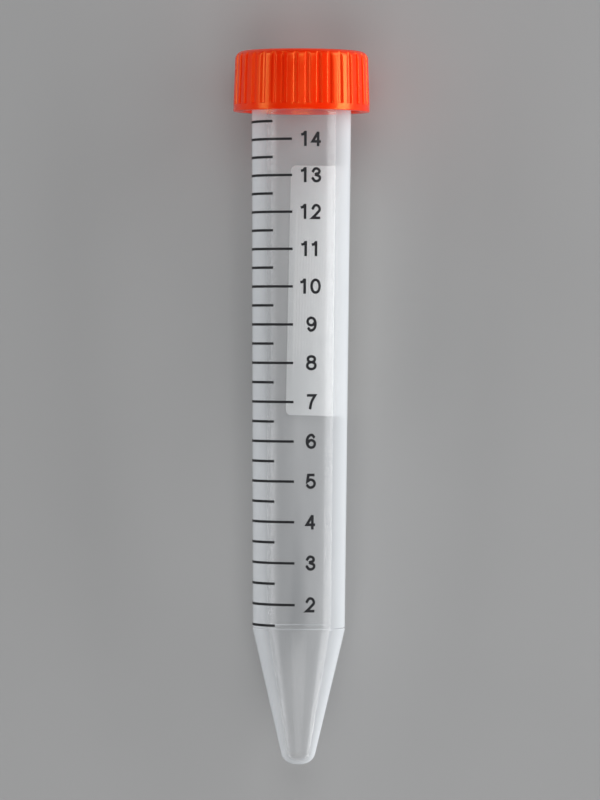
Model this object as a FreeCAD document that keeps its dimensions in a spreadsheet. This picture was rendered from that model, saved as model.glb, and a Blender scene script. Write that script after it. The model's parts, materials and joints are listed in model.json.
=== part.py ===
"""A 15 ml conical tube, closed with its fluted screw cap and lying on its side.

Two mouldings: the tube, and the cap with its plug seal. Each is built upright about its own Z axis,
the tube from its tip and the cap from its open rim. The cap is seated on the tube's mouth, and then
both are laid down together: own +Z turns to row +Y and own -Y, the graduated front, to row +Z.
"""
import FreeCAD, Part
import math
import os
import Sketcher

SIZES = {
    # tube: outside
    "tube_length": 118.8,         # tip to mouth
    "tube_diameter": 16.9,        # outside, at the mouth
    "tube_draft": 0.4,            # degrees, narrower towards the tip
    "shoulder_height": 22.75,     # tip to where the cone begins
    "cone_end_diameter": 4.94,    # the cone carried on to the tip's level
    "tip_radius": 2.3,
    "mouth_chamfer": 0.3,
    # tube: inside
    "tube_wall": 1.1,
    "tip_wall": 1.85,
    "core_end_diameter": 3.8,     # the inner cone carried on to the inner tip's level
    "core_tip_radius": 1.2,
    # cap: outside
    "cap_height": 10.2,
    "cap_draft": 1.9,             # degrees, narrower towards the closed end
    "cap_edge_radius": 1.4,
    "band_height": 1.1,           # plain band below the flutes
    "flute_count": 36,
    "flute_mouth": 0.85,          # width at the skirt's surface
    "flute_floor": 0.45,          # width at the bottom
    "flute_depth": 0.3,
    # cap: inside
    "cap_top_wall": 1.5,
    "skirt_wall": 1.7,            # at the open rim
    "thread_room": 1.35,          # radial room between neck and skirt, for the thread
    "plug_length": 3.2,
    "plug_wall": 0.9,
    "plug_lead": 0.4,             # height of the chamfer that leads it into the mouth
    "plug_clearance": 0.08,       # radial
}

# Radii and heights that several outlines share, worked out from the sizes.
MOUTH_R = "Sizes.tube_diameter / 2"
TUBE_TAPER = "tan(Sizes.tube_draft * 1 deg)"
SHOULDER_R = f"({MOUTH_R} - (Sizes.tube_length - Sizes.shoulder_height) * {TUBE_TAPER})"
SKIRT_INNER_R = f"({MOUTH_R} + Sizes.thread_room)"
CAP_RIM_R = f"({SKIRT_INNER_R} + Sizes.skirt_wall)"
CAP_TAPER = "tan(Sizes.cap_draft * 1 deg)"
SEAT_HEIGHT = "(Sizes.cap_height - Sizes.cap_top_wall)"
PLUG_R = f"({MOUTH_R} - Sizes.tube_wall - Sizes.plug_clearance)"
PLUG_END_R = f"({PLUG_R} - Sizes.plug_length * {TUBE_TAPER})"
PLUG_END_HEIGHT = f"({SEAT_HEIGHT} - Sizes.plug_length)"
AXIS = "0"
BASE = "0"
LEVEL_TOLERANCE = 0.001


def make_sheet(doc):
    """The driving dimensions, one alias to a cell."""
    sheet = doc.addObject("Spreadsheet::Sheet", "Sizes")
    for row, (alias, value) in enumerate(SIZES.items(), start=1):
        sheet.set(f"A{row}", str(value))
        sheet.setAlias(f"A{row}", alias)
    doc.recompute()
    return sheet


def make_body(doc, label):
    body = doc.addObject("PartDesign::Body", label)
    body.Label = label
    return body


def draw_outline(body, name, corners, rounds):
    """A closed half section on the XZ plane: corners as (radius, height), rounds as {corner: radius}.

    Every corner is held by two dimensions and stays where it is when it is rounded.
    """
    sketch = body.newObject("Sketcher::SketchObject", name)
    plane = next(f for f in body.Origin.OriginFeatures if f.Role == "XZ_Plane")
    sketch.AttachmentSupport = [(plane, "")]
    sketch.MapMode = "FlatFace"
    points = [
        FreeCAD.Vector(float(sketch.evalExpression(r)), float(sketch.evalExpression(z)), 0)
        for r, z in corners
    ]
    count = len(points)
    for i, point in enumerate(points):
        sketch.addGeometry(Part.LineSegment(point, points[(i + 1) % count]))
    for i, (radius, height) in enumerate(corners):
        sketch.addConstraint(Sketcher.Constraint("Coincident", i, 2, (i + 1) % count, 1))
        hold_corner(sketch, i, "DistanceX", radius, points[i].x, -2)
        hold_corner(sketch, i, "DistanceY", height, points[i].y, -1)
    for corner, radius in rounds.items():
        round_corner(sketch, points, corner, radius)
    return sketch


def hold_corner(sketch, line, kind, expression, value, axis_line):
    """Fix the start of a line by one dimension from the origin, or on the axis itself."""
    if expression == "0":
        sketch.addConstraint(Sketcher.Constraint("PointOnObject", line, 1, axis_line))
        return
    index = sketch.addConstraint(Sketcher.Constraint(kind, -1, 1, line, 1, value))
    sketch.renameConstraint(index, f"corner{line}{kind[-1]}")
    sketch.setExpression(f"Constraints.corner{line}{kind[-1]}", expression)


def round_corner(sketch, points, corner, radius):
    count = len(points)
    here = points[corner]
    before = here + (points[corner - 1] - here) * 0.4
    after = here + (points[(corner + 1) % count] - here) * 0.4
    value = float(sketch.evalExpression(radius))
    sketch.fillet((corner - 1) % count, corner, before, after, value, True, True)
    arc = max(i for i, g in enumerate(sketch.Geometry) if isinstance(g, Part.ArcOfCircle))
    index = sketch.addConstraint(Sketcher.Constraint("Radius", arc, value))
    sketch.renameConstraint(index, f"round{corner}")
    sketch.setExpression(f"Constraints.round{corner}", radius)


def turn(body, kind, name, sketch):
    """A full turn of a half section about the body's axis, added or cut away."""
    feature = body.newObject(kind, name)
    feature.Profile = (sketch, [""])
    feature.ReferenceAxis = (sketch, ["V_Axis"])
    feature.Angle = 360
    return feature


def make_tube(doc):
    """One moulding: drafted wall, conical end with a blunt tip, and an open mouth."""
    body = make_body(doc, "tube")
    outside = draw_outline(
        body,
        "TubeOutside",
        [
            (AXIS, BASE),
            ("Sizes.cone_end_diameter / 2", BASE),
            (SHOULDER_R, "Sizes.shoulder_height"),
            (MOUTH_R, "Sizes.tube_length"),
            (AXIS, "Sizes.tube_length"),
        ],
        {1: "Sizes.tip_radius"},
    )
    turn(body, "PartDesign::Revolution", "TubeSolid", outside)
    doc.recompute()

    # The core leaves an even wall above the shoulder and a thicker tip.
    core = draw_outline(
        body,
        "TubeInside",
        [
            (AXIS, "Sizes.tip_wall"),
            ("Sizes.core_end_diameter / 2", "Sizes.tip_wall"),
            (f"{SHOULDER_R} - Sizes.tube_wall", "Sizes.shoulder_height"),
            (f"{MOUTH_R} - Sizes.tube_wall", "Sizes.tube_length"),
            (AXIS, "Sizes.tube_length"),
        ],
        {1: "Sizes.core_tip_radius"},
    )
    hollow = turn(body, "PartDesign::Groove", "TubeCore", core)
    doc.recompute()

    # The mouth's lip is chamfered outside and in, so that the cap's plug finds its way.
    lip = body.newObject("PartDesign::Chamfer", "MouthLip")
    lip.Base = (hollow, level_edges(hollow.Shape, hollow.Shape.BoundBox.ZMax))
    lip.setExpression("Size", "min(Sizes.mouth_chamfer, Sizes.tube_wall * 0.4)")
    doc.recompute()
    return body


def level_edges(shape, height):
    """Names of the round edges that lie level at a height."""
    return [
        f"Edge{i}"
        for i, edge in enumerate(shape.Edges, start=1)
        if edge.Closed and abs(edge.Vertexes[0].Z - height) < LEVEL_TOLERANCE
    ]


def make_cap(doc):
    """One moulding: fluted skirt, flat top, and inside it the ring that plugs the tube's mouth."""
    body = make_body(doc, "screw_cap")
    shell = draw_outline(
        body,
        "CapSection",
        [
            (AXIS, "Sizes.cap_height"),
            (f"{CAP_RIM_R} - Sizes.cap_height * {CAP_TAPER}", "Sizes.cap_height"),
            (CAP_RIM_R, BASE),
            (SKIRT_INNER_R, BASE),
            (SKIRT_INNER_R, SEAT_HEIGHT),
            (PLUG_R, SEAT_HEIGHT),
            (f"{PLUG_END_R} + Sizes.plug_lead * {TUBE_TAPER}", f"{PLUG_END_HEIGHT} + Sizes.plug_lead"),
            (f"{PLUG_END_R} - Sizes.plug_lead / 2", PLUG_END_HEIGHT),
            (f"{PLUG_R} - Sizes.plug_wall", PLUG_END_HEIGHT),
            (f"{PLUG_R} - Sizes.plug_wall", SEAT_HEIGHT),
            (AXIS, SEAT_HEIGHT),
        ],
        {1: "Sizes.cap_edge_radius"},
    )
    turn(body, "PartDesign::Revolution", "CapShell", shell)
    doc.recompute()

    # A flute is a flat-bottomed groove with sloping sides, cut along the drafted skirt. It stops
    # square above the plain band and runs out over the rounded top edge. The wedge that cuts it
    # starts at the groove's floor and widens outwards, on past the skirt's surface.
    flute = body.newObject("PartDesign::SubtractiveWedge", "Flute")
    flute.Placement.Rotation = FreeCAD.Rotation(FreeCAD.Vector(1, 0, 0), 1)
    reach = "2 * Sizes.flute_depth"
    outer_half_width = "(Sizes.flute_mouth - Sizes.flute_floor / 2)"
    for size, expression in {
        "Xmin": "-Sizes.flute_floor / 2",
        "Xmax": "Sizes.flute_floor / 2",
        "X2min": f"-{outer_half_width}",
        "X2max": outer_half_width,
        "Ymin": "0",
        "Ymax": reach,
        "Zmin": "0",
        "Zmax": "Sizes.cap_height",
        "Z2min": "0",
        "Z2max": "Sizes.cap_height",
        "Placement.Base.y": f"{CAP_RIM_R} - Sizes.band_height * {CAP_TAPER} - Sizes.flute_depth",
        "Placement.Base.z": "Sizes.band_height",
        "Placement.Rotation.Angle": "Sizes.cap_draft * 1 deg",
    }.items():
        flute.setExpression(size, expression)
    doc.recompute()

    flutes = body.newObject("PartDesign::PolarPattern", "Flutes")
    flutes.Originals = [flute]
    flutes.Axis = (shell, ["V_Axis"])
    flutes.Angle = 360
    flutes.setExpression("Occurrences", "Sizes.flute_count")
    body.Tip = flutes
    doc.recompute()
    return body


def lay_down(tube, cap, sheet):
    """Place both at rest: lying on the cap's rim and the tube's shoulder, over the row's origin."""
    seat = float(sheet.evalExpression(f"{SEAT_HEIGHT}"))
    cap_base = sheet.tube_length - seat
    rim_r = float(sheet.evalExpression(CAP_RIM_R))
    shoulder_r = float(sheet.evalExpression(SHOULDER_R))
    tilt = math.atan2(rim_r - shoulder_r, cap_base - sheet.shoulder_height)
    turned = FreeCAD.Placement(
        FreeCAD.Vector(0, 0, 0),
        FreeCAD.Rotation(FreeCAD.Vector(1, 0, 0), math.degrees(tilt) - 90),
    )
    tube.Placement = turned
    cap.Placement = turned.multiply(FreeCAD.Placement(FreeCAD.Vector(0, 0, cap_base), FreeCAD.Rotation()))

    box = Part.makeCompound([tube.Shape, cap.Shape]).optimalBoundingBox(False, False)
    rise = shoulder_r * math.cos(tilt) - sheet.shoulder_height * math.sin(tilt)
    shift = FreeCAD.Placement(FreeCAD.Vector(0, -box.Center.y, rise), FreeCAD.Rotation())
    tube.Placement = shift.multiply(tube.Placement)
    cap.Placement = shift.multiply(cap.Placement)


def check(doc, bodies):
    for item in doc.Objects:
        if {"Invalid", "Error"} & set(item.State):
            raise RuntimeError(f"{item.Name} failed: {item.State}")
    for body in bodies:
        if body.Shape.isNull() or not body.Shape.isValid() or len(body.Shape.Solids) != 1:
            raise RuntimeError(f"{body.Label} is not one valid solid")


doc = FreeCAD.newDocument("ConicalTube")
sheet = make_sheet(doc)
tube = make_tube(doc)
cap = make_cap(doc)
lay_down(tube, cap, sheet)
doc.recompute()
check(doc, [tube, cap])

os.makedirs("parts", exist_ok=True)
for body in (tube, cap):
    body.Shape.exportStep(f"parts/{body.Label}.step")
    box = body.Shape.optimalBoundingBox(False, False)
    print(f"{body.Label}: {body.Shape.Volume:.0f} mm3, {box}")
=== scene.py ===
import json
import math

import bmesh
import bpy
from mathutils import Matrix, Vector


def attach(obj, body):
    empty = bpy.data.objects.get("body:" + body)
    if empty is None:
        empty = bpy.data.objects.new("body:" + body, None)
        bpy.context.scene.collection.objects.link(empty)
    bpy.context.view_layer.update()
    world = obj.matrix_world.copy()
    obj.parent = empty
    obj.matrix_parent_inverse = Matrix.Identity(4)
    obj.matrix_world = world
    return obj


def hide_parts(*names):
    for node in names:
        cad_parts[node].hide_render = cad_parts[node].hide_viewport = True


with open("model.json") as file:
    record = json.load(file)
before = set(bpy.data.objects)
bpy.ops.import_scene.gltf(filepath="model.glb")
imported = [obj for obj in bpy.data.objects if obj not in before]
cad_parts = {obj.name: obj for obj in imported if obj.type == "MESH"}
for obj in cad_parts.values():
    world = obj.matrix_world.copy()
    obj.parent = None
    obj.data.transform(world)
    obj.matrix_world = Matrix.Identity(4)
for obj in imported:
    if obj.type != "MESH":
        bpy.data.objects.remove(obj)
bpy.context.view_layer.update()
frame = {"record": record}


# ---------------------------------------------------------------------------------------------
# The tube. One injection moulding in natural, hazy polypropylene: a drafted wall, a conical end
# with a blunt tip, an open mouth, and a right-hand thread moulded on the outside of its neck.
# It is turned from its half section, and the thread is wound on and joined to the wall.
# ---------------------------------------------------------------------------------------------

MM = 0.001

TUBE_LENGTH = 118.8 * MM
MOUTH_RADIUS = 8.45 * MM
SHOULDER_RADIUS = 7.779 * MM
SHOULDER_HEIGHT = 22.75 * MM
CONE_END_RADIUS = 2.47 * MM
TIP_ROUND = 2.3 * MM
SHOULDER_ROUND = 0.9 * MM
TUBE_WALL = 1.1 * MM
TIP_WALL = 1.85 * MM
CORE_END_RADIUS = 1.9 * MM
CORE_TIP_ROUND = 1.2 * MM
LIP_ROUND = 0.3 * MM
LENGTH_WITH_CAP = 120.3 * MM
PARTING_LINE = (23.07 * MM, 23.23 * MM)   # where the mould's cone insert meets its barrel
TUBE_SIDES = 128
TUBE_DRAFT = (MOUTH_RADIUS - SHOULDER_RADIUS) / (TUBE_LENGTH - SHOULDER_HEIGHT)

THREAD_PITCH = 3.0 * MM
THREAD_TURNS = 1.6
THREAD_STEPS = 48                 # in a turn
THREAD_START = 112.3 * MM
THREAD_CREST = 9.35 * MM
THREAD_ROOT = MOUTH_RADIUS - 0.4 * MM   # sunk in the wall, so that the two join
THREAD_CREST_HALF = 0.3 * MM      # up and down from the ridge's middle
THREAD_FOOT_BELOW = 0.95 * MM
THREAD_FOOT_ABOVE = 0.75 * MM
THREAD_END_HEIGHT = 0.12          # of the full ridge, where it runs out at both ends

SMOOTH_ANGLE = math.radians(32)


def wall_radius(height):
    """Outside radius of the tube's drafted wall at a height above the tip."""
    return MOUTH_RADIUS - (TUBE_LENGTH - height) * TUBE_DRAFT


def deselect_all():
    """Leaves edit mode and selects nothing."""
    if bpy.context.object and bpy.context.object.mode != "OBJECT":
        bpy.ops.object.mode_set(mode="OBJECT")
    bpy.ops.object.select_all(action="DESELECT")


def rounded(before, corner, after, radius, steps):
    """Points along the arc that rounds one corner of a half section, as (radius, height)."""
    corner = Vector(corner)
    back = (Vector(before) - corner).normalized()
    onward = (Vector(after) - corner).normalized()
    half = back.angle(onward) / 2
    centre = corner + (back + onward).normalized() * (radius / math.sin(half))
    start = corner + back * (radius / math.tan(half)) - centre
    end = corner + onward * (radius / math.tan(half)) - centre
    turn = start.angle_signed(end)
    points = []
    for i in range(steps + 1):
        part = start.copy()
        part.rotate(Matrix.Rotation(-turn * i / steps, 2))
        points.append(tuple(centre + part))
    return points


def draw_section(name, points, closed=False):
    """Draws a half section on the XZ plane, one extruded point after another."""
    deselect_all()
    bpy.ops.mesh.primitive_plane_add(size=MM)
    piece = bpy.context.object
    piece.name = name
    bpy.ops.object.mode_set(mode="EDIT")
    bpy.ops.mesh.select_all(action="SELECT")
    bpy.ops.mesh.merge(type="CENTER")
    here = Vector((points[0][0], 0, points[0][1]))
    bpy.ops.transform.translate(value=here)
    for radius, height in points[1:]:
        there = Vector((radius, 0, height))
        bpy.ops.mesh.extrude_vertices_move(TRANSFORM_OT_translate={"value": there - here})
        here = there
    bpy.ops.mesh.select_all(action="SELECT")
    if closed:
        bpy.ops.mesh.edge_face_add()
    return piece


def turn_round(sides):
    """Spins what is selected about the upright axis into a closed solid."""
    bpy.ops.mesh.spin(steps=sides, angle=math.tau, center=(0, 0, 0), axis=(0, 0, 1))
    close_seams()


def close_seams():
    """Merges the points that meet, turns every face outwards and leaves edit mode."""
    bpy.ops.mesh.select_all(action="SELECT")
    bpy.ops.mesh.remove_doubles(threshold=1e-6)
    bpy.ops.mesh.normals_make_consistent(inside=False)
    bpy.ops.object.mode_set(mode="OBJECT")


def wind_thread(name, section, base_radius):
    """Winds a right-hand ridge: its section is extruded step by step, lower at both ends."""
    ridge = draw_section(name, section, closed=True)
    steps = round(THREAD_TURNS * THREAD_STEPS)
    step_angle = math.tau / THREAD_STEPS
    step_up = {"value": (0, 0, THREAD_PITCH / THREAD_STEPS)}
    run_in = THREAD_STEPS // 6

    def rise(step):
        """Share of the full ridge that stands at a step."""
        return max(THREAD_END_HEIGHT, min(1, step / run_in, (steps - step) / run_in))

    bpy.ops.transform.resize(value=(rise(0), rise(0), 1), center_override=(base_radius, 0, 0))
    for step in range(1, steps + 1):
        bpy.ops.mesh.extrude_region_move(TRANSFORM_OT_translate=step_up)
        bpy.ops.transform.rotate(value=-step_angle, orient_axis="Z", center_override=(0, 0, 0))
        angle = step * step_angle
        base = (base_radius * math.cos(angle), base_radius * math.sin(angle), 0)
        change = rise(step) / rise(step - 1)
        bpy.ops.transform.resize(value=(change, change, 1), center_override=base)
    close_seams()
    return ridge


def settle_order(mesh):
    """Sorts points and faces by their place, because a join leaves them in a chance order."""
    order = sorted(range(len(mesh.vertices)), key=lambda i: tuple(mesh.vertices[i].co))
    rank = {before: after for after, before in enumerate(order)}
    points = [mesh.vertices[i].co.copy() for i in order]
    faces = []
    for face in mesh.polygons:
        corners = [rank[i] for i in face.vertices]
        first = corners.index(min(corners))
        faces.append(corners[first:] + corners[:first])
    mesh.clear_geometry()
    mesh.from_pydata(points, [], sorted(faces))


def join_moulding(piece, addition):
    """Makes one moulding of two solids."""
    deselect_all()
    bpy.context.view_layer.objects.active = piece
    join = piece.modifiers.new("Join", "BOOLEAN")
    join.operation = "UNION"
    join.solver = "EXACT"
    join.object = addition
    bpy.ops.object.modifier_apply(modifier=join.name)
    bpy.data.objects.remove(addition)
    settle_order(piece.data)


def smooth(piece):
    """Shades a piece smooth, except across its sharp edges."""
    deselect_all()
    piece.select_set(True)
    bpy.context.view_layer.objects.active = piece
    bpy.ops.object.shade_smooth_by_angle(angle=SMOOTH_ANGLE)


top_mount = next(m for m in frame["record"]["mounts"] if m["name"] == "cap_top")
ALONG = Vector(top_mount["axis"]).normalized()
TIP = Vector(top_mount["pos_m"]) - ALONG * LENGTH_WITH_CAP
LYING = Matrix.Translation(TIP) @ Vector((0, 0, 1)).rotation_difference(ALONG).to_matrix().to_4x4()


def lay_down(piece):
    """Turns a piece that was made upright about the tube's axis to where the tube lies."""
    piece.data.transform(LYING)


section_corners = [
    (0, 0),
    (CONE_END_RADIUS, 0),
    (SHOULDER_RADIUS, SHOULDER_HEIGHT),
    (MOUTH_RADIUS, TUBE_LENGTH),
    (MOUTH_RADIUS - TUBE_WALL, TUBE_LENGTH),
    (SHOULDER_RADIUS - TUBE_WALL, SHOULDER_HEIGHT),
    (CORE_END_RADIUS, TIP_WALL),
    (0, TIP_WALL),
]
corner_rounds = {
    1: (TIP_ROUND, 10),
    2: (SHOULDER_ROUND, 3),
    3: (LIP_ROUND, 4),
    4: (LIP_ROUND, 4),
    5: (SHOULDER_ROUND, 3),
    6: (CORE_TIP_ROUND, 8),
}
tube_section = [section_corners[0]]
for i in range(1, len(section_corners) - 1):
    before, corner, after = section_corners[i - 1:i + 2]
    radius, steps = corner_rounds[i]
    tube_section += rounded(before, corner, after, radius, steps)
    if corner == (SHOULDER_RADIUS, SHOULDER_HEIGHT):
        tube_section += [(wall_radius(height), height) for height in PARTING_LINE]
tube_section.append(section_corners[-1])

tube = draw_section("tube_moulding", tube_section)
turn_round(TUBE_SIDES)


def outside_radius(height):
    """Outside radius of the whole tube, cone and wall."""
    if height > SHOULDER_HEIGHT:
        return wall_radius(height)
    return CONE_END_RADIUS + (SHOULDER_RADIUS - CONE_END_RADIUS) * height / SHOULDER_HEIGHT


def mark_finishes(piece):
    """Gives the bore the second finish and the mould's parting line the third."""
    for face in piece.data.polygons:
        height = face.center.z
        if face.center.xy.length < outside_radius(height) - TUBE_WALL / 2 and height > TIP_WALL / 2:
            face.material_index = 1
        elif PARTING_LINE[0] < height < PARTING_LINE[1]:
            face.material_index = 2


tube_thread = wind_thread(
    "tube_thread",
    [
        (THREAD_ROOT, THREAD_START - THREAD_FOOT_BELOW),
        (THREAD_CREST, THREAD_START - THREAD_CREST_HALF),
        (THREAD_CREST, THREAD_START + THREAD_CREST_HALF),
        (THREAD_ROOT, THREAD_START + THREAD_FOOT_ABOVE),
    ],
    THREAD_ROOT,
)
join_moulding(tube, tube_thread)
mark_finishes(tube)
smooth(tube)
lay_down(tube)
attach(tube, "tube_body")
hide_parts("tube")


def new_material(name):
    """A material with its surface shader, its object coordinates and its node tree."""
    material = bpy.data.materials.new(name)
    material.use_nodes = True
    tree = material.node_tree
    surface = tree.nodes["Principled BSDF"]
    place = tree.nodes.new("ShaderNodeTexCoord").outputs["Object"]
    return material, tree, surface, place


def noise(tree, place, size, detail=3):
    """A cloudy pattern whose blotches are about a size across, in metres."""
    node = tree.nodes.new("ShaderNodeTexNoise")
    node.inputs["Scale"].default_value = 1 / size
    node.inputs["Detail"].default_value = detail
    tree.links.new(place, node.inputs["Vector"])
    return node.outputs["Fac"]


def shade_between(tree, pattern, low, high, socket):
    """Drives a colour between two shades by a pattern."""
    ramp = tree.nodes.new("ShaderNodeValToRGB")
    ramp.color_ramp.elements[0].position = 0.3
    ramp.color_ramp.elements[0].color = (*low, 1)
    ramp.color_ramp.elements[1].position = 0.7
    ramp.color_ramp.elements[1].color = (*high, 1)
    tree.links.new(pattern, ramp.inputs["Fac"])
    tree.links.new(ramp.outputs["Color"], socket)


def vary(tree, pattern, low, high, socket):
    """Drives a number between two values by a pattern."""
    spread = tree.nodes.new("ShaderNodeMapRange")
    spread.inputs["From Min"].default_value = 0.3
    spread.inputs["From Max"].default_value = 0.7
    spread.inputs["To Min"].default_value = low
    spread.inputs["To Max"].default_value = high
    tree.links.new(pattern, spread.inputs["Value"])
    tree.links.new(spread.outputs["Result"], socket)


def relief(tree, pattern, depth, surface):
    """Raises a pattern by a depth, in metres, as relief on the surface."""
    bump = tree.nodes.new("ShaderNodeBump")
    bump.inputs["Strength"].default_value = 1
    bump.inputs["Distance"].default_value = depth
    tree.links.new(pattern, bump.inputs["Height"])
    tree.links.new(bump.outputs["Normal"], surface.inputs["Normal"])


def along_tube(tree, place, stretch):
    """Coordinates that draw a pattern out along the tube, as the plastic flowed."""
    flow = tree.nodes.new("ShaderNodeMapping")
    flow.inputs["Scale"].default_value = (1, 1 / stretch, 1)
    tree.links.new(place, flow.inputs["Vector"])
    return flow.outputs["Vector"]


def natural_polypropylene(name, haze):
    """Milky plastic, of which haze is the share of the light that one face of the wall stops."""
    material, tree, surface, place = new_material(name)
    clouds = noise(tree, along_tube(tree, place, 4), 6 * MM)
    milky = surface.inputs["Base Color"]
    shade_between(tree, clouds, (0.84, 0.88, 0.92), (0.88, 0.92, 0.96), milky)
    vary(tree, clouds, 0.55, 0.6, surface.inputs["Roughness"])
    relief(tree, noise(tree, along_tube(tree, place, 10), 2.5 * MM), 0.0009 * MM, surface)
    surface.inputs["Alpha"].default_value = haze
    surface.inputs["Coat Weight"].default_value = 1
    surface.inputs["Coat IOR"].default_value = 2.0
    surface.inputs["Coat Roughness"].default_value = 0.12
    return material


SKIN_HAZE = 0.1
EDGE_HAZE = 1.0
BORE_HAZE = 0.03
PARTING_HAZE = 0.35
SLANT_RANGE = (0.12, 0.8)         # from face on to edge on, as Layer Weight's Facing
HAZE_LOST_BEHIND = 0.6            # the share that goes where light leaves the wall from within


def thicken_edges(material, face_on, edge_on):
    """Haze for the outside of a wall: more where it is seen edge on, less on the way out of it."""
    tree = material.node_tree
    slant = tree.nodes.new("ShaderNodeLayerWeight")
    haze = tree.nodes.new("ShaderNodeMapRange")
    haze.inputs["From Min"].default_value = SLANT_RANGE[0]
    haze.inputs["From Max"].default_value = SLANT_RANGE[1]
    haze.inputs["To Min"].default_value = face_on
    haze.inputs["To Max"].default_value = edge_on
    tree.links.new(slant.outputs["Facing"], haze.inputs["Value"])

    entering = tree.nodes.new("ShaderNodeMath")
    entering.operation = "MULTIPLY_ADD"
    entering.inputs[1].default_value = -HAZE_LOST_BEHIND
    entering.inputs[2].default_value = 1
    side = tree.nodes.new("ShaderNodeNewGeometry")
    tree.links.new(side.outputs["Backfacing"], entering.inputs[0])

    stopped = tree.nodes.new("ShaderNodeMath")
    stopped.operation = "MULTIPLY"
    tree.links.new(haze.outputs["Result"], stopped.inputs[0])
    tree.links.new(entering.outputs["Value"], stopped.inputs[1])
    tree.links.new(stopped.outputs["Value"], tree.nodes["Principled BSDF"].inputs["Alpha"])


tube_skin = natural_polypropylene("natural_polypropylene", SKIN_HAZE)
thicken_edges(tube_skin, SKIN_HAZE, EDGE_HAZE)
tube.data.materials.append(tube_skin)
tube.data.materials.append(natural_polypropylene("natural_polypropylene_bore", BORE_HAZE))
tube.data.materials.append(natural_polypropylene("natural_polypropylene_parting", PARTING_HAZE))


# ---------------------------------------------------------------------------------------------
# The screw cap. One injection moulding in orange polyethylene: a fluted skirt with a plain band
# at its rim, a flat top with its gate dimple, an inner thread, and the ring that plugs the mouth.
# One ten-degree slice with its flute is made and then repeated round the axis.
# ---------------------------------------------------------------------------------------------

CAP_HEIGHT = 10.2 * MM
CAP_RIM_RADIUS = 11.5 * MM
CAP_DRAFT = math.tan(math.radians(1.9))
CAP_EDGE_ROUND = 1.4 * MM
CAP_BASE = 110.1 * MM             # the cap's rim above the tube's tip
BAND_HEIGHT = 1.1 * MM
FLUTE_END = (0.05 * MM, -0.01 * MM, -0.2 * MM)   # rows above and below the band's top
SKIRT_ROWS = (7.4 * MM, 5.6 * MM, 3.8 * MM, 2.2 * MM, 1.5 * MM)
SKIRT_INSIDE = 9.8 * MM
SKIRT_INSIDE_ROWS = (2.0 * MM, 4.0 * MM, 6.0 * MM)
SEAT_HEIGHT = 8.7 * MM
RIM_ROUND_OUTSIDE = 0.15 * MM
RIM_ROUND_INSIDE = 0.25 * MM
CEILING_ROUND = 0.5 * MM
SEAT_ROUND = 0.2 * MM

# The gate's stub in its shallow dish, in the middle of the cap's top, as radius and depth.
GATE_DIMPLE = (
    (0, 0.12 * MM),
    (0.35 * MM, 0.12 * MM),
    (0.42 * MM, 0.22 * MM),
    (1.25 * MM, 0.22 * MM),
    (1.45 * MM, 0.06 * MM),
    (1.55 * MM, 0),
)
TOP_RINGS = (1.7 * MM, 5.5 * MM)  # rings that keep the flat top flat in smooth shading
TOP_RING_MARGIN = 0.2 * MM        # and one just inside the rounded edge

PLUG_RADIUS = 7.27 * MM
PLUG_LENGTH = 3.2 * MM
PLUG_WALL = 0.9 * MM
PLUG_LEAD_IN = ((0.012 * MM, 0.7 * MM), (0.16 * MM, 0.22 * MM), (0.38 * MM, 0))   # inwards, up
PLUG_END_CHAMFER = 0.15 * MM
PLUG_FOOT_ROUND = 0.3 * MM

FLUTE_COUNT = 36
FLUTE_COLUMNS = 20                # in a slice
# Depths by column from the flute's middle outwards, the same on both sides.
FLUTE_DEPTHS = (0.30 * MM, 0.30 * MM, 0.29 * MM, 0.20 * MM, 0.08 * MM, 0.015 * MM)

CAP_THREAD_CREST = 8.85 * MM
CAP_THREAD_ROOT = SKIRT_INSIDE + 0.35 * MM
CAP_THREAD_START = THREAD_START - 0.8 * MM - CAP_BASE   # it pulls on the tube's ridge from below
CAP_THREAD_CREST_HALF = 0.2 * MM
CAP_THREAD_FOOT_HALF = 0.8 * MM


def skirt_radius(height):
    """Outside radius of the cap's drafted skirt at a height above its rim."""
    return CAP_RIM_RADIUS - height * CAP_DRAFT


def cap_outline():
    """Half section of the cap without its flutes, from the top's middle round to the ceiling."""
    top_edge = skirt_radius(CAP_HEIGHT)
    ceiling = SEAT_HEIGHT
    plug_end = ceiling - PLUG_LENGTH
    points = [(radius, CAP_HEIGHT - depth) for radius, depth in GATE_DIMPLE]
    for radius in (*TOP_RINGS, top_edge - CAP_EDGE_ROUND - TOP_RING_MARGIN):
        points.append((radius, CAP_HEIGHT))

    top_corner = (top_edge, CAP_HEIGHT)
    rim_outside = (CAP_RIM_RADIUS, 0)
    points += rounded((0, CAP_HEIGHT), top_corner, rim_outside, CAP_EDGE_ROUND, 12)
    for height in (*SKIRT_ROWS, *(BAND_HEIGHT + above for above in FLUTE_END)):
        points.append((skirt_radius(height), height))
    points += rounded(top_corner, rim_outside, (0, 0), RIM_ROUND_OUTSIDE, 3)

    rim_inside = (SKIRT_INSIDE, 0)
    ceiling_corner = (SKIRT_INSIDE, ceiling)
    points += rounded(rim_outside, rim_inside, ceiling_corner, RIM_ROUND_INSIDE, 2)
    points += [(SKIRT_INSIDE, height) for height in SKIRT_INSIDE_ROWS]
    points += rounded(rim_inside, ceiling_corner, (0, ceiling), CEILING_ROUND, 3)

    points += rounded(ceiling_corner, (PLUG_RADIUS, ceiling), (PLUG_RADIUS, 0), SEAT_ROUND, 2)
    points += [(PLUG_RADIUS - inwards, plug_end + up) for inwards, up in PLUG_LEAD_IN]
    plug_inside = PLUG_RADIUS - PLUG_WALL
    points += [
        (plug_inside + PLUG_END_CHAMFER, plug_end),
        (plug_inside, plug_end + PLUG_END_CHAMFER),
    ]
    points += rounded((plug_inside, 0), (plug_inside, ceiling), (0, ceiling), PLUG_FOOT_ROUND, 3)
    points.append((0, ceiling))
    return points


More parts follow.
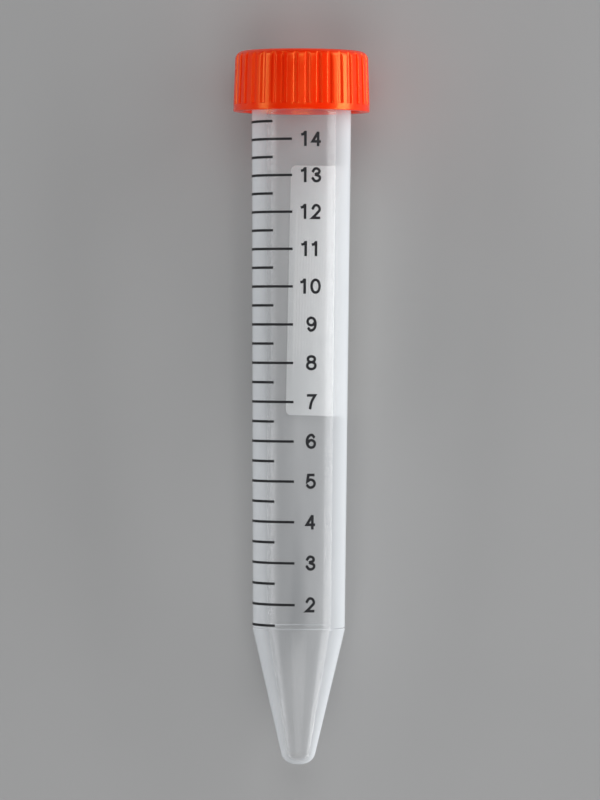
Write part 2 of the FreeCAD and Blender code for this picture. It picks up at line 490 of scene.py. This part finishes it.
cap = draw_section("cap_moulding", cap_outline())
slice_angle = math.tau / FLUTE_COUNT
bpy.ops.mesh.spin(steps=FLUTE_COLUMNS, angle=slice_angle, center=(0, 0, 0), axis=(0, 0, 1))
bpy.ops.mesh.select_all(action="SELECT")
bpy.ops.mesh.remove_doubles(threshold=1e-6)


def press_flute(piece):
    """Presses the slice's flute: each row's points go in to the groove's depth, by column."""
    edit = bmesh.from_edit_mesh(piece.data)
    rows = {}
    angles = {}
    for point in edit.verts:
        height, radius = point.co.z, point.co.xy.length
        above_band = height > BAND_HEIGHT + 0.02 * MM
        past_top = radius > skirt_radius(CAP_HEIGHT) - CAP_EDGE_ROUND
        outside = radius > SKIRT_INSIDE + 0.01 * MM or height > SEAT_HEIGHT + 0.3 * MM
        if above_band and past_top and outside:
            row = (round(height / MM, 4), round(radius / MM, 4))
            rows.setdefault(row, []).append(point)
            angles[point.index] = math.atan2(point.co.y, point.co.x)
    middle = (min(angles.values()) + max(angles.values())) / 2
    column = slice_angle / FLUTE_COLUMNS
    for (height, radius), points in rows.items():
        for columns_away, depth in enumerate(FLUTE_DEPTHS):
            shrink = (skirt_radius(height * MM) - depth) / (radius * MM)
            if shrink >= 1:
                continue
            bpy.ops.mesh.select_all(action="DESELECT")
            for point in points:
                if round(abs(angles[point.index] - middle) / column) == columns_away:
                    point.select_set(True)
            bmesh.update_edit_mesh(piece.data)
            bpy.ops.transform.resize(value=(shrink, shrink, 1), center_override=(0, 0, 0))


bpy.ops.mesh.select_mode(type="VERT")
press_flute(cap)
bpy.ops.mesh.select_all(action="SELECT")
bpy.ops.mesh.spin(
    steps=FLUTE_COUNT - 1,
    dupli=True,
    angle=math.tau - slice_angle,
    center=(0, 0, 0),
    axis=(0, 0, 1),
)
close_seams()

cap_thread = wind_thread(
    "cap_thread",
    [
        (CAP_THREAD_ROOT, CAP_THREAD_START - CAP_THREAD_FOOT_HALF),
        (CAP_THREAD_CREST, CAP_THREAD_START - CAP_THREAD_CREST_HALF),
        (CAP_THREAD_CREST, CAP_THREAD_START + CAP_THREAD_CREST_HALF),
        (CAP_THREAD_ROOT, CAP_THREAD_START + CAP_THREAD_FOOT_HALF),
    ],
    CAP_THREAD_ROOT,
)
join_moulding(cap, cap_thread)
smooth(cap)
cap.data.transform(Matrix.Translation((0, 0, CAP_BASE)))
lay_down(cap)
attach(cap, "cap_body")
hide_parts("screw_cap")


def orange_polyethylene():
    """Glossy orange plastic that light enters a little way."""
    material, tree, surface, place = new_material("orange_polyethylene")
    clouds = noise(tree, place, 5 * MM)
    orange = surface.inputs["Base Color"]
    shade_between(tree, clouds, (0.97, 0.016, 0.0002), (0.99, 0.023, 0.0004), orange)
    vary(tree, clouds, 0.22, 0.28, surface.inputs["Roughness"])
    relief(tree, noise(tree, place, 0.35 * MM), 0.004 * MM, surface)
    surface.inputs["IOR"].default_value = 1.65
    surface.inputs["Specular IOR Level"].default_value = 0.8
    surface.inputs["Specular Tint"].default_value = (1.0, 0.60, 0.12, 1)
    surface.inputs["Subsurface Weight"].default_value = 0.4
    surface.inputs["Subsurface Radius"].default_value = (1.0, 0.10, 0.03)
    surface.inputs["Subsurface Scale"].default_value = 1.5 * MM
    return material


cap.data.materials.append(orange_polyethylene())


# ---------------------------------------------------------------------------------------------
# The graduations. Black ink printed on the outside of the wall: a long line at every millilitre
# and a short one between, from 1.5 ml above the shoulder to 14.5 ml under the cap. Their heights
# follow from the bore, and each is one thin layer of ink that hugs the wall.
# ---------------------------------------------------------------------------------------------

INK_THICKNESS = 0.04 * MM
INK_CLEARANCE = 0.012 * MM        # between the ink and the wall's flat facets
STRIP_WIDTH = 0.5 * MM            # of the flat strips that follow the round wall
LINE_WEIGHT = 0.42 * MM
LINE_START = -92.0                # degrees round the wall from the front, to the left
LONG_LINE = 11.85 * MM
SHORT_LINE = 8.3 * MM
FIRST_LINE_HEIGHT = 23.7 * MM
FIRST_LINE_ML = 1.5
PRINTED_MILLILITRE = 996.5 * MM ** 3   # the print runs a little short of the true volume


def height_of(millilitres):
    """Height above the tip at which the drafted bore holds a volume."""
    first = wall_radius(FIRST_LINE_HEIGHT) - TUBE_WALL
    volume = (millilitres - FIRST_LINE_ML) * PRINTED_MILLILITRE
    radius = (first ** 3 + 3 * TUBE_DRAFT * volume / math.pi) ** (1 / 3)
    return FIRST_LINE_HEIGHT + (radius - first) / TUBE_DRAFT


def cut_into_strips(piece, step):
    """Cuts a flat print upright at every step across, so that it can follow the round wall."""
    bpy.ops.object.mode_set(mode="EDIT")
    left = min(v.co.x for v in piece.data.vertices)
    right = max(v.co.x for v in piece.data.vertices)
    cuts = math.ceil((right - left) / step)
    for i in range(1, cuts):
        across = left + (right - left) * i / cuts
        bpy.ops.mesh.select_all(action="SELECT")
        bpy.ops.mesh.bisect(plane_co=(across, 0, 0), plane_no=(1, 0, 0))
    bpy.ops.object.mode_set(mode="OBJECT")


def wrap_on_wall(piece, turn, height):
    """Bends a flat print round the wall at a height, its middle turned from the front."""
    radius = wall_radius(height) + INK_CLEARANCE
    deselect_all()
    piece.select_set(True)
    bpy.context.view_layer.objects.active = piece
    width = max(v.co.x for v in piece.data.vertices) - min(v.co.x for v in piece.data.vertices)
    bend = piece.modifiers.new("Bend", "SIMPLE_DEFORM")
    bend.deform_method = "BEND"
    bend.deform_axis = "Z"
    bend.angle = width / radius
    bpy.ops.object.modifier_apply(modifier=bend.name)
    to_wall = Matrix.Translation((0, -radius, height))
    piece.data.transform(Matrix.Rotation(math.radians(turn), 4, "Z") @ to_wall)


def finish_print(piece, ink):
    """Lays a wrapped print down with the tube, inks it and lets it move with the tube."""
    smooth(piece)
    lay_down(piece)
    piece.data.materials.append(ink)
    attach(piece, "tube_body")


def printed_line(name, length, height):
    """A line of ink that runs round the wall from the lines' start."""
    deselect_all()
    bpy.ops.mesh.primitive_cube_add(size=1, scale=(length, INK_THICKNESS, LINE_WEIGHT))
    bpy.ops.object.transform_apply(scale=True)
    line = bpy.context.object
    line.name = name
    line.data.transform(Matrix.Translation((0, -INK_THICKNESS / 2, 0)))
    cut_into_strips(line, STRIP_WIDTH)
    half_turn = math.degrees(length / wall_radius(height)) / 2
    wrap_on_wall(line, LINE_START + half_turn, height)
    finish_print(line, graduation_ink)


def black_ink():
    """Dull black ink, shared by the lines and the numbers."""
    material, tree, surface, place = new_material("black_ink")
    clouds = noise(tree, place, 0.5 * MM)
    black = surface.inputs["Base Color"]
    shade_between(tree, clouds, (0.008, 0.008, 0.010), (0.016, 0.016, 0.019), black)
    vary(tree, clouds, 0.45, 0.6, surface.inputs["Roughness"])
    surface.inputs["Specular IOR Level"].default_value = 0.3
    return material


graduation_ink = black_ink()
for millilitres in range(2, 15):
    printed_line(f"line_{millilitres}_ml", LONG_LINE, height_of(millilitres))
for millilitres in range(1, 15):
    printed_line(f"line_{millilitres}_5_ml", SHORT_LINE, height_of(millilitres + 0.5))


# ---------------------------------------------------------------------------------------------
# The numbers. The same black ink, beside the long lines: 2 to 14 in plain upright figures.
# Each figure is drawn with one or two strokes of a flat nib, and the strokes are joined.
# ---------------------------------------------------------------------------------------------

FIGURE_HEIGHT = 2.53 * MM
FIGURE_PITCH = 2.05 * MM
ONES_PITCH = 1.76 * MM            # two ones stand closer together
NIB = 0.178                       # the nib's width, as a share of the figure's height
FIGURE_WIDTH = 0.70               # as drawn below, for a height of one
FIGURE_SPREAD = 1.03              # how much wider the figures are printed than drawn
FIGURE_STRIP = 0.35 * MM
NUMBER_ACROSS = 1.88 * MM         # round the wall from the front, to the right
PAIR_ACROSS = 1.52 * MM
NUMBER_RISE = 0.06 * MM           # above the middle of the number's line

# Middle lines of the strokes in a figure one unit high. A point marked "corner" is sharp.
FIGURE_STROKES = {
    "0": [("loop", [(0.35, 0.92), (0.08, 0.50), (0.35, 0.08), (0.62, 0.50)])],
    "1": [
        ("line", [(0.42, 1.0, "corner"), (0.42, 0.0, "corner")]),
        ("line", [(0.14, 0.755), (0.30, 0.80), (0.42, 0.95)]),
    ],
    "2": [("line", [(0.09, 0.64), (0.35, 0.92), (0.60, 0.67), (0.42, 0.39), (0.12, 0.08, "corner"),
                    (0.64, 0.08, "corner")])],
    "3": [
        ("line", [(0.09, 0.68), (0.34, 0.92), (0.57, 0.71), (0.27, 0.535)]),
        ("line", [(0.27, 0.535), (0.61, 0.30), (0.34, 0.08), (0.07, 0.32)]),
    ],
    "4": [
        ("line", [(0.47, 0.0, "corner"), (0.47, 0.95, "corner")]),
        ("line", [(0.47, 0.93, "corner"), (0.10, 0.31, "corner"), (0.66, 0.31, "corner")]),
    ],
    "5": [("line", [(0.60, 0.92, "corner"), (0.19, 0.92, "corner"), (0.13, 0.49, "corner"),
                    (0.36, 0.61), (0.61, 0.34), (0.34, 0.08), (0.07, 0.27)])],
    "6": [("line", [(0.59, 0.73), (0.37, 0.92), (0.09, 0.48), (0.35, 0.08), (0.61, 0.33),
                    (0.36, 0.57), (0.10, 0.35)])],
    "7": [("line", [(0.07, 0.92, "corner"), (0.61, 0.92, "corner"), (0.38, 0.50), (0.27, 0.0)])],
    "8": [
        ("loop", [(0.35, 0.92), (0.12, 0.73), (0.35, 0.54), (0.58, 0.73)]),
        ("loop", [(0.35, 0.54), (0.08, 0.31), (0.35, 0.08), (0.62, 0.31)]),
    ],
    "9": [("line", [(0.11, 0.27), (0.33, 0.08), (0.61, 0.52), (0.35, 0.92), (0.09, 0.67),
                    (0.34, 0.43), (0.60, 0.65)])],
}


def flat_nib():
    """A flat rectangle that the strokes are drawn with."""
    outline = bpy.data.curves.new("nib", "CURVE")
    outline.dimensions = "2D"
    edge = outline.splines.new("POLY")
    edge.points.add(3)
    half_width = NIB * FIGURE_HEIGHT / 2
    half_thickness = INK_THICKNESS / 2
    corners = [(-half_width, -half_thickness), (half_width, -half_thickness),
               (half_width, half_thickness), (-half_width, half_thickness)]
    for point, (x, y) in zip(edge.points, corners):
        point.co = (x, y, 0, 1)
    edge.use_cyclic_u = True
    nib = bpy.data.objects.new("nib", outline)
    bpy.context.scene.collection.objects.link(nib)
    return nib


def draw_stroke(nib, kind, points):
    """One stroke of the nib as a closed solid: drawn flat on the ground and then stood up."""
    path = bpy.data.curves.new("stroke", "CURVE")
    path.dimensions = "2D"
    path.fill_mode = "NONE"
    path.resolution_u = 6
    path.bevel_mode = "OBJECT"
    path.bevel_object = nib
    path.use_fill_caps = True
    spline = path.splines.new("BEZIER")
    spline.bezier_points.add(len(points) - 1)
    spline.use_cyclic_u = kind == "loop"
    for bend, point in zip(spline.bezier_points, points):
        across = (point[0] - FIGURE_WIDTH / 2) * FIGURE_SPREAD
        bend.co = Vector((across, point[1] - 0.5, 0)) * FIGURE_HEIGHT
        sharp = len(point) > 2
        bend.handle_left_type = "VECTOR" if sharp else "AUTO"
        bend.handle_right_type = "VECTOR" if sharp else "AUTO"
    stroke = bpy.data.objects.new("stroke", path)
    bpy.context.scene.collection.objects.link(stroke)
    deselect_all()
    stroke.select_set(True)
    bpy.context.view_layer.objects.active = stroke
    bpy.ops.object.convert(target="MESH")
    stroke.data.transform(Matrix.Rotation(math.radians(90), 4, "X"))
    bpy.ops.object.mode_set(mode="EDIT")
    close_seams()
    return stroke


def draw_figure(nib, figure):
    """One figure, with its strokes joined into one layer of ink."""
    strokes = [draw_stroke(nib, kind, points) for kind, points in FIGURE_STROKES[figure]]
    whole = strokes[0]
    for stroke in strokes[1:]:
        join_moulding(whole, stroke)
    whole.name = f"figure_{figure}"
    return whole


nib = flat_nib()
figures = {figure: draw_figure(nib, figure) for figure in FIGURE_STROKES}
for number in range(2, 15):
    digits = str(number)
    pitch = ONES_PITCH if digits == "11" else FIGURE_PITCH
    height = height_of(number)
    across = NUMBER_ACROSS if len(digits) == 1 else PAIR_ACROSS
    copies = []
    for place, digit in enumerate(digits):
        figure = figures[digit].copy()
        figure.data = figures[digit].data.copy()
        bpy.context.scene.collection.objects.link(figure)
        step = (place - (len(digits) - 1) / 2) * pitch
        figure.data.transform(Matrix.Translation((step, -INK_THICKNESS / 2, NUMBER_RISE)))
        copies.append(figure)
    deselect_all()
    for figure in copies:
        figure.select_set(True)
    bpy.context.view_layer.objects.active = copies[0]
    if len(copies) > 1:
        bpy.ops.object.join()
    printed = bpy.context.object
    printed.name = f"number_{number}"
    cut_into_strips(printed, FIGURE_STRIP)
    wrap_on_wall(printed, math.degrees(across / wall_radius(height)), height)
    finish_print(printed, graduation_ink)
for figure in figures.values():
    bpy.data.objects.remove(figure)
bpy.data.objects.remove(nib)


# ---------------------------------------------------------------------------------------------
# The writing patch. A field of white matt ink on the back of the wall, to write on with a pen.
# A flat sheet of ink with round corners is bent round the wall, a little askew, because the
# drafted tube was rolled over a flat print.
# ---------------------------------------------------------------------------------------------

PATCH_BOTTOM = 58.65 * MM
PATCH_TOP = 101.2 * MM
PATCH_START = 97.0                # degrees round the wall from the front, to the right
PATCH_END = 197.5
PATCH_CORNER = 0.9 * MM
ROLL_START = 45.0                 # where the wall first met the print, in the same degrees

patch_height = PATCH_TOP - PATCH_BOTTOM
patch_width = math.radians(PATCH_END - PATCH_START) * wall_radius(PATCH_BOTTOM)
deselect_all()
bpy.ops.mesh.primitive_cube_add(size=1, scale=(patch_width, INK_THICKNESS, patch_height))
bpy.ops.object.transform_apply(scale=True)
patch = bpy.context.object
patch.name = "writing_patch"
patch.data.transform(Matrix.Translation((0, -INK_THICKNESS / 2, patch_height / 2)))
bpy.ops.object.mode_set(mode="EDIT")
bpy.ops.mesh.select_mode(type="EDGE")
bpy.ops.mesh.select_all(action="DESELECT")
edit = bmesh.from_edit_mesh(patch.data)
for edge in edit.edges:
    start, end = (point.co for point in edge.verts)
    if abs(end.y - start.y) > INK_THICKNESS / 2:
        edge.select_set(True)
bmesh.update_edit_mesh(patch.data)
bpy.ops.mesh.bevel(offset=PATCH_CORNER, segments=8, affect="EDGES")
bpy.ops.object.mode_set(mode="OBJECT")
cut_into_strips(patch, STRIP_WIDTH)
wrap_on_wall(patch, (PATCH_START + PATCH_END) / 2, PATCH_BOTTOM)


def roll_over_print(piece, height):
    """Moves a wrapped print to where a drafted wall takes it up, when rolled over it flat."""
    radius = wall_radius(height)
    for point in piece.data.vertices:
        round_wall = math.degrees(math.atan2(point.co.x, -point.co.y)) % 360
        rolled = math.radians(round_wall - ROLL_START)
        point.co.z += radius * rolled ** 2 * TUBE_DRAFT / 2
        widen = wall_radius(point.co.z) / radius
        point.co.xy = Matrix.Rotation(rolled / widen - rolled, 2) @ point.co.xy * widen


roll_over_print(patch, PATCH_BOTTOM)


def white_ink():
    """Matt white ink that lets light spread in it."""
    material, tree, surface, place = new_material("white_ink")
    clouds = noise(tree, place, 1.2 * MM)
    white = surface.inputs["Base Color"]
    shade_between(tree, clouds, (0.86, 0.86, 0.85), (0.89, 0.89, 0.88), white)
    vary(tree, clouds, 0.6, 0.75, surface.inputs["Roughness"])
    surface.inputs["Subsurface Weight"].default_value = 1
    surface.inputs["Subsurface Radius"].default_value = (1, 1, 1)
    surface.inputs["Subsurface Scale"].default_value = 0.09 * MM
    return material


finish_print(patch, white_ink())


# ---------------------------------------------------------------------------------------------
# The studio: a plain pale floor, a large soft lamp low on the right, a narrow one on the left,
# two above the tube's ends, and a camera that looks straight down on the lying tube, square to
# its axis. Lamps are placed and sized in metres.
# ---------------------------------------------------------------------------------------------

FLOOR_SIZE = 6.0
FRONT = (LYING.to_3x3() @ Vector((0, -1, 0))).normalized()
CAMERA_DISTANCE = 870 * MM
CAMERA_HEIGHT = 70.6 * MM         # along the tube, above its tip
AIM_HEIGHT = 61.5 * MM
CAMERA_LENS = 231.9
CAMERA_ROLL = 0.295

bpy.ops.mesh.primitive_plane_add(size=FLOOR_SIZE)
floor = bpy.context.object
floor.name = "floor"


def pale_floor():
    """Plain matt grey."""
    material, tree, surface, place = new_material("pale_floor")
    clouds = noise(tree, place, 60 * MM)
    pale = surface.inputs["Base Color"]
    shade_between(tree, clouds, (0.37, 0.37, 0.37), (0.39, 0.39, 0.39), pale)
    vary(tree, clouds, 0.7, 0.8, surface.inputs["Roughness"])
    return material


floor.data.materials.append(pale_floor())


def softbox(name, place, along, upright, brightness):
    """A soft lamp that faces the tube, sized along the tube and upright."""
    lamp = bpy.data.lights.new(name, "AREA")
    lamp.shape = "RECTANGLE"
    lamp.size = along
    lamp.size_y = upright
    lamp.energy = brightness * math.pi * along * upright
    holder = bpy.data.objects.new(name, lamp)
    bpy.context.scene.collection.objects.link(holder)
    holder.location = place
    holder.visible_camera = False
    holder.rotation_euler = (-Vector(place)).to_track_quat("-Z", "Y").to_euler()


softbox("key_lamp", (1.2, 0.0, 0.32), 2.6, 0.55, 5.0)
softbox("fill_lamp", (-1.1, 0.0, 0.48), 2.4, 0.34, 2.6)
softbox("foot_lamp", (0.0, -0.45, 0.78), 0.6, 0.6, 1.9)
softbox("head_lamp", (0.0, 0.45, 0.78), 0.6, 0.6, 1.9)

world = bpy.data.worlds.new("studio")
world.use_nodes = True
world.node_tree.nodes["Background"].inputs["Color"].default_value = (0.9, 0.94, 1.0, 1)
world.node_tree.nodes["Background"].inputs["Strength"].default_value = 0.10
bpy.context.scene.world = world

camera_data = bpy.data.cameras.new("camera")
camera_data.lens = CAMERA_LENS
camera_data.sensor_width = 36
camera_data.clip_start = 0.01
camera = bpy.data.objects.new("camera", camera_data)
bpy.context.scene.collection.objects.link(camera)
eye = TIP + ALONG * CAMERA_HEIGHT + FRONT * CAMERA_DISTANCE
aim = TIP + ALONG * AIM_HEIGHT
back = (eye - aim).normalized()
right = ALONG.cross(back).normalized()
up = back.cross(right)
pose = Matrix((right, up, back)).transposed().to_4x4()
pose.translation = eye
camera.matrix_world = pose @ Matrix.Rotation(math.radians(CAMERA_ROLL), 4, "Z")
bpy.context.scene.camera = camera
bpy.context.scene.view_settings.view_transform = "Standard"
bpy.context.scene.cycles.transparent_max_bounces = 24   # light passes both walls and the print
